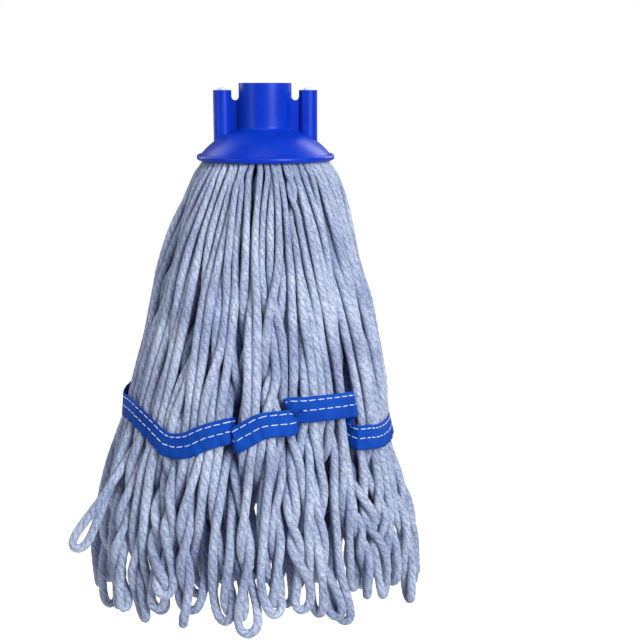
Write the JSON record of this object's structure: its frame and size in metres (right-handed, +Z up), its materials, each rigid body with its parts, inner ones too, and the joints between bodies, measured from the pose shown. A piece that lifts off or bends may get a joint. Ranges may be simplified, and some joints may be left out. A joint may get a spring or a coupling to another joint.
{
  "type": "string mop head",
  "caption": "String mop head with looped yarn ends, a blue plastic handle socket with two side posts, and a stitched blue tape ring round the yarn.",
  "frame": {"origin": "centre of the handle bore's mouth, at the top of the socket's tube", "axes": "+Z up along the handle bore; the yarn hangs towards -Z; +X through the right-hand side post; the front is -Y"},
  "size_m": [0.2253, 0.2141, 0.3485],
  "materials": {
    "blue_plastic": "glossy injection-moulded polypropylene, royal blue",
    "natural_plastic": "natural uncoloured polypropylene, slightly translucent",
    "mop_yarn": "soft plied cotton blend yarn, pale periwinkle with white flecks",
    "woven_tape": "woven polyester tape, royal blue",
    "sewing_thread": "white sewing thread"
  },
  "bodies": {
    "head": {"socket": "blue_plastic", "yarn_retainer": "natural_plastic", "yarn_core": "mop_yarn", "tail_band": "woven_tape", "stitch_row_upper": "sewing_thread", "stitch_row_lower": "sewing_thread", "yarn_bundle_01": "mop_yarn", "yarn_bundle_02": "mop_yarn", "yarn_bundle_03": "mop_yarn", "yarn_bundle_04": "mop_yarn", "yarn_bundle_05": "mop_yarn", "yarn_bundle_06": "mop_yarn", "yarn_bundle_07": "mop_yarn", "yarn_bundle_08": "mop_yarn", "yarn_bundle_09": "mop_yarn", "yarn_bundle_10": "mop_yarn", "yarn_bundle_11": "mop_yarn", "yarn_bundle_12": "mop_yarn"},
    "swing_01": {"tassel_01": "mop_yarn"},
    "swing_02": {"tassel_02": "mop_yarn"},
    "swing_03": {"tassel_03": "mop_yarn"},
    "swing_04": {"tassel_04": "mop_yarn"},
    "swing_05": {"tassel_05": "mop_yarn"},
    "swing_06": {"tassel_06": "mop_yarn"},
    "swing_07": {"tassel_07": "mop_yarn"},
    "swing_08": {"tassel_08": "mop_yarn"},
    "swing_09": {"tassel_09": "mop_yarn"},
    "swing_10": {"tassel_10": "mop_yarn"},
    "swing_11": {"tassel_11": "mop_yarn"},
    "swing_12": {"tassel_12": "mop_yarn"}
  },
  "joints": [
    {"name": "tassel_01_swing", "type": "hinge", "parent": "head", "child": "swing_01", "pos_m": [0, -0.08832, -0.20776], "axis": [-1, 0, 0], "range_deg": [0, 40]},
    {"name": "tassel_02_swing", "type": "hinge", "parent": "head", "child": "swing_02", "pos_m": [0.04416, -0.07649, -0.21172], "axis": [-0.866, -0.5, 0], "range_deg": [0, 40]},
    {"name": "tassel_03_swing", "type": "hinge", "parent": "head", "child": "swing_03", "pos_m": [0.07649, -0.04416, -0.22512], "axis": [-0.5, -0.866, 0], "range_deg": [0, 40]},
    {"name": "tassel_04_swing", "type": "hinge", "parent": "head", "child": "swing_04", "pos_m": [0.08832, 0, -0.23127], "axis": [0, -1, 0], "range_deg": [0, 40]},
    {"name": "tassel_05_swing", "type": "hinge", "parent": "head", "child": "swing_05", "pos_m": [0.07649, 0.04416, -0.23127], "axis": [0.5, -0.866, 0], "range_deg": [0, 40]},
    {"name": "tassel_06_swing", "type": "hinge", "parent": "head", "child": "swing_06", "pos_m": [0.04416, 0.07649, -0.2255], "axis": [0.866, -0.5, 0], "range_deg": [0, 40]},
    {"name": "tassel_07_swing", "type": "hinge", "parent": "head", "child": "swing_07", "pos_m": [0, 0.08832, -0.21501], "axis": [1, 0, 0], "range_deg": [0, 40]},
    {"name": "tassel_08_swing", "type": "hinge", "parent": "head", "child": "swing_08", "pos_m": [-0.04416, 0.07649, -0.21827], "axis": [0.866, 0.5, 0], "range_deg": [0, 40]},
    {"name": "tassel_09_swing", "type": "hinge", "parent": "head", "child": "swing_09", "pos_m": [-0.07649, 0.04416, -0.2285], "axis": [0.5, 0.866, 0], "range_deg": [0, 40]},
    {"name": "tassel_10_swing", "type": "hinge", "parent": "head", "child": "swing_10", "pos_m": [-0.08832, 0, -0.23107], "axis": [0, 1, 0], "range_deg": [0, 40]},
    {"name": "tassel_11_swing", "type": "hinge", "parent": "head", "child": "swing_11", "pos_m": [-0.07649, -0.04416, -0.23057], "axis": [-0.5, 0.866, 0], "range_deg": [0, 40]},
    {"name": "tassel_12_swing", "type": "hinge", "parent": "head", "child": "swing_12", "pos_m": [-0.04416, -0.07649, -0.22091], "axis": [-0.866, 0.5, 0], "range_deg": [0, 40]}
  ]
}
